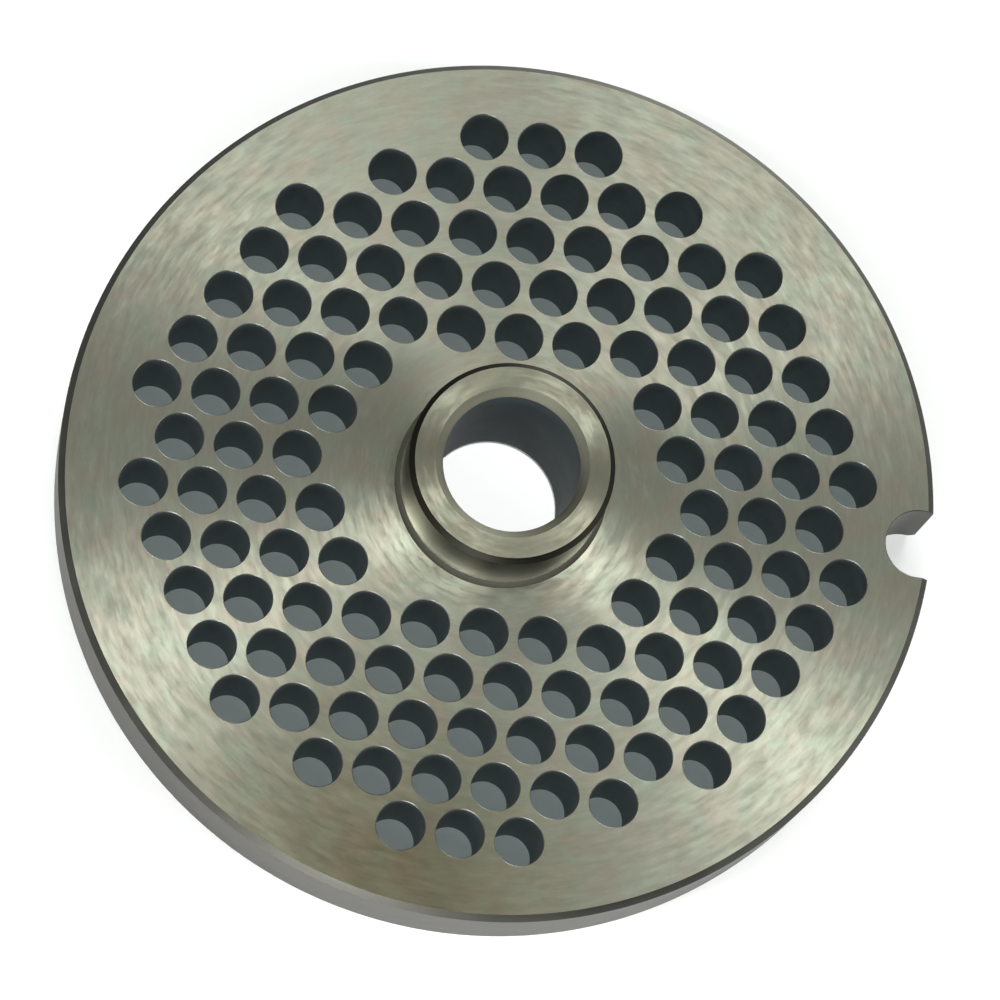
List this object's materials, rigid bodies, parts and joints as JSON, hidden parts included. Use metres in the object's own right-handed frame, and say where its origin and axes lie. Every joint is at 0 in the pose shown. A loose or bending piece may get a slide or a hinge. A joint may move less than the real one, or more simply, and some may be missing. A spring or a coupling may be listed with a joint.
{
  "type": "meat grinder plate",
  "caption": "Round perforated steel grinder plate with a raised central hub, a through bore, a hexagonal hole field and a rim notch.",
  "frame": {"origin": "middle of the flat cutting face, on the bore's axis", "axes": "+Z along the bore axis out of the hub's top, +X from the bore towards the middle of the rim notch, hole rows along X"},
  "size_m": [0.0819, 0.082, 0.0175],
  "materials": {
    "ground_steel": "turned and ground tool steel with fine concentric tool marks"
  },
  "bodies": {
    "root": {"grinder_plate": "ground_steel"}
  },
  "joints": []
}
